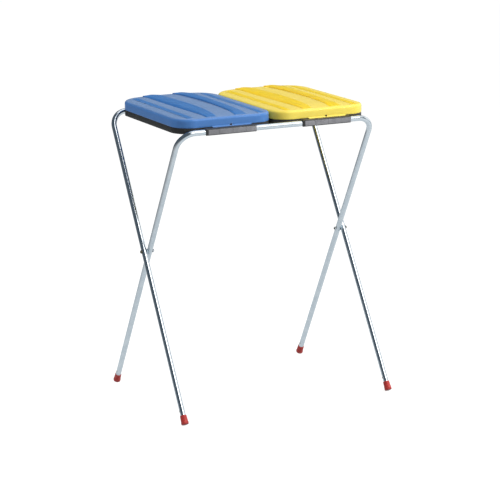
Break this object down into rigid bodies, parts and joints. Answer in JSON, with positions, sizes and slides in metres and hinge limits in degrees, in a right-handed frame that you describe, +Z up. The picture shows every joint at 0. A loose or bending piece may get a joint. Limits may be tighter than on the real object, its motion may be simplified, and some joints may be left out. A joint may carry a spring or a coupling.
{
  "type": "bin bag holder",
  "caption": "Folding bin bag stand: crossed tube legs on plastic feet carry side-by-side bag rings, each with a hinged coloured lid.",
  "frame": {"origin": "on the floor, at the middle of the stand's footprint, below the axis on which the legs cross", "axes": "+Z up, -Y towards the front (the hooks and grip tabs), +X to the right as seen from the front"},
  "size_m": [0.7794, 0.5934, 0.9872],
  "materials": {
    "tube": "bright zinc plated",
    "foot_cap": "satin red",
    "bolt": "dark passivated",
    "nut": "zinc plated",
    "spacer": "natural",
    "ring": "fine matte black",
    "strip": "matte grey",
    "pin": "zinc plated",
    "blue_lid": "satin blue with matte lands",
    "yellow_lid": "satin yellow with matte lands"
  },
  "bodies": {
    "outer_leg_frame": {"outer_frame": "tube", "left_front_cap": "foot_cap", "right_front_cap": "foot_cap", "left_pivot_bolt": "bolt", "right_pivot_bolt": "bolt", "left_pivot_nut": "nut", "right_pivot_nut": "nut", "left_pivot_spacer": "spacer", "right_pivot_spacer": "spacer"},
    "inner_leg_frame": {"inner_frame": "tube", "left_rear_cap": "foot_cap", "right_rear_cap": "foot_cap"},
    "left_ring_body": {"left_bag_ring": "ring", "left_front_strip": "strip", "left_lid_pin_a": "pin", "left_lid_pin_b": "pin"},
    "left_lid_body": {"left_lid": "blue_lid"},
    "right_ring_body": {"right_bag_ring": "ring", "right_front_strip": "strip", "right_lid_pin_a": "pin", "right_lid_pin_b": "pin"},
    "right_lid_body": {"right_lid": "yellow_lid"}
  },
  "joints": [
    {"name": "fold", "type": "hinge", "parent": "outer_leg_frame", "child": "inner_leg_frame", "pos_m": [0, 0, 0.51], "axis": [-1, 0, 0], "range_deg": [0, 57]},
    {"name": "left_ring_swing", "type": "hinge", "parent": "outer_leg_frame", "child": "left_ring_body", "pos_m": [0, 0.24228, 0.93649], "axis": [-1, 0, 0], "range_deg": [0, 114]},
    {"name": "left_lid_hinge", "type": "hinge", "parent": "left_ring_body", "child": "left_lid_body", "pos_m": [0, 0.24618, 0.95363], "axis": [-1, 0, 0], "range_deg": [0, 100]},
    {"name": "right_ring_swing", "type": "hinge", "parent": "outer_leg_frame", "child": "right_ring_body", "pos_m": [0, 0.24228, 0.93649], "axis": [-1, 0, 0], "range_deg": [0, 114]},
    {"name": "right_lid_hinge", "type": "hinge", "parent": "right_ring_body", "child": "right_lid_body", "pos_m": [0, 0.24618, 0.95363], "axis": [-1, 0, 0], "range_deg": [0, 100]}
  ],
  "couplings": [
    {"joint": "left_ring_swing", "follows": "fold", "ratio": 2},
    {"joint": "right_ring_swing", "follows": "fold", "ratio": 2}
  ]
}
